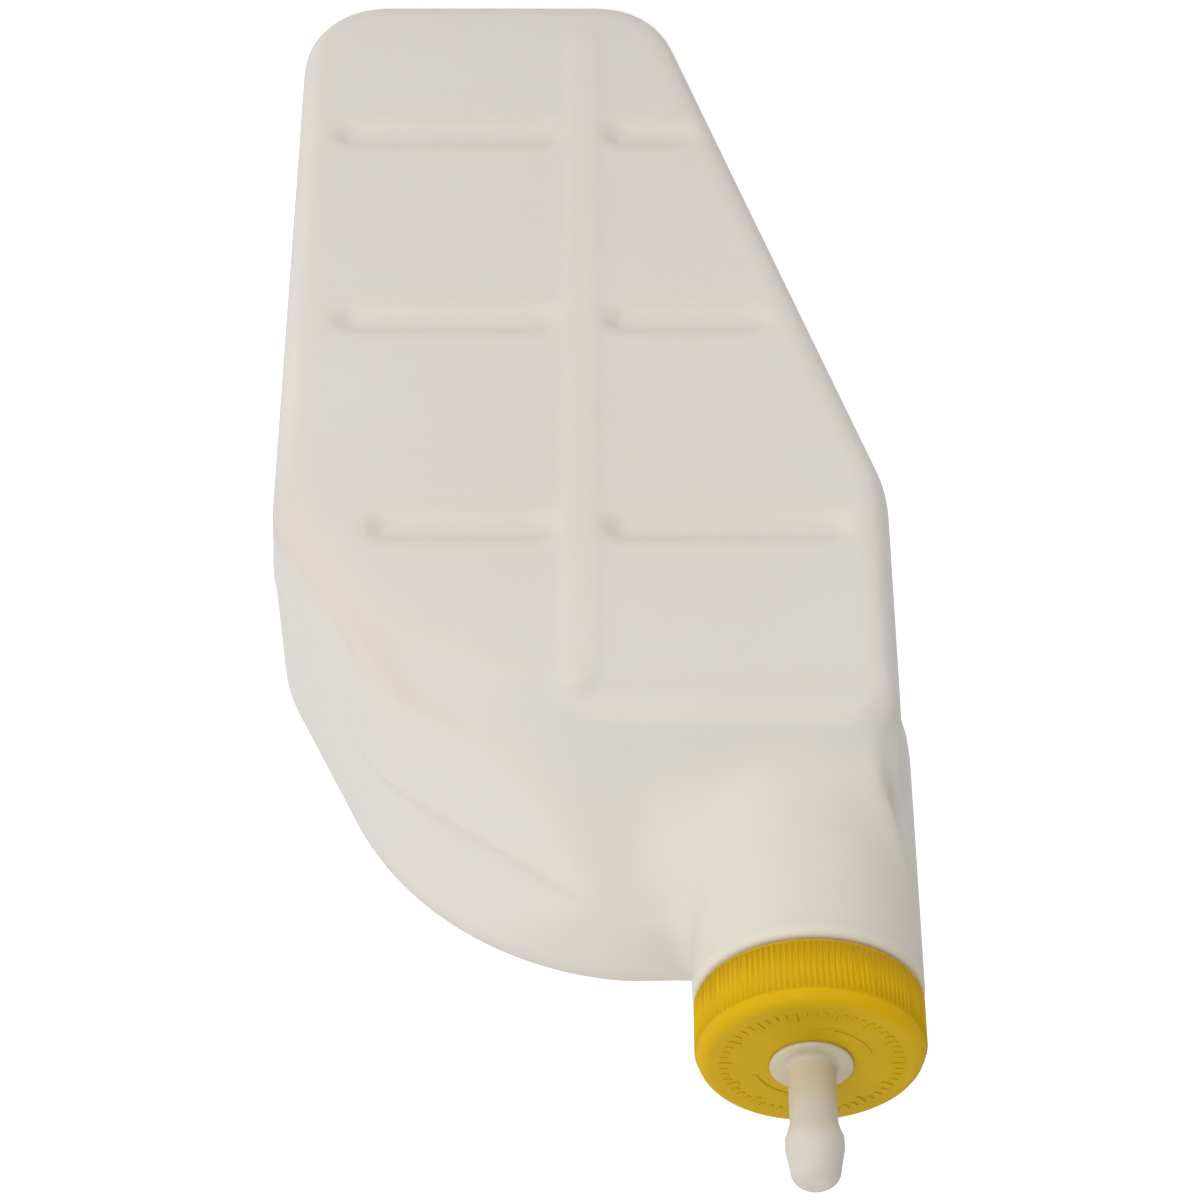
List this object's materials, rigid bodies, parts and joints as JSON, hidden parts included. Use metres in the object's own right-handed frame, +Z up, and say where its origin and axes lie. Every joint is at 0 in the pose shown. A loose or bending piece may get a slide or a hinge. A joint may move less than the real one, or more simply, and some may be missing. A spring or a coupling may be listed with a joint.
{
  "type": "coolant expansion tank",
  "caption": "Flat translucent coolant expansion tank with a sloping side, a grooved face, a screw cap on a side neck and a swivelling hose nipple.",
  "frame": {"origin": "middle of the bounding box at the foot of the tank, on the surface that it stands on", "axes": "+Z up through the neck, -Y out of the broad front face, +X towards the straight side away from the neck"},
  "size_m": [0.1365, 0.0652, 0.3049],
  "materials": {
    "tank_plastic": "natural milky blow-moulded polyethylene, satin and slightly translucent",
    "cap_plastic": "yellow moulded plastic, satin",
    "nipple_plastic": "natural white moulded plastic, satin",
    "seal_rubber": "matt black rubber"
  },
  "bodies": {
    "tank": {"tank": "tank_plastic"},
    "nipple": {"nipple": "nipple_plastic", "nipple_seal": "seal_rubber"},
    "cap": {"cap": "cap_plastic", "cap_gasket": "seal_rubber"}
  },
  "joints": [
    {"name": "cap_lift", "type": "slide", "parent": "tank", "child": "nipple", "axis": [0, 0, 1], "range_m": [0, 0.00601]},
    {"name": "cap_turn", "type": "hinge", "parent": "nipple", "child": "cap", "pos_m": [-0.04507, 0, 0.27], "axis": [0, 0, 1], "range_deg": [0, 540]}
  ],
  "couplings": [
    {"joint": "cap_lift", "follows": "cap_turn", "m_per_rad": 0.00063662}
  ]
}
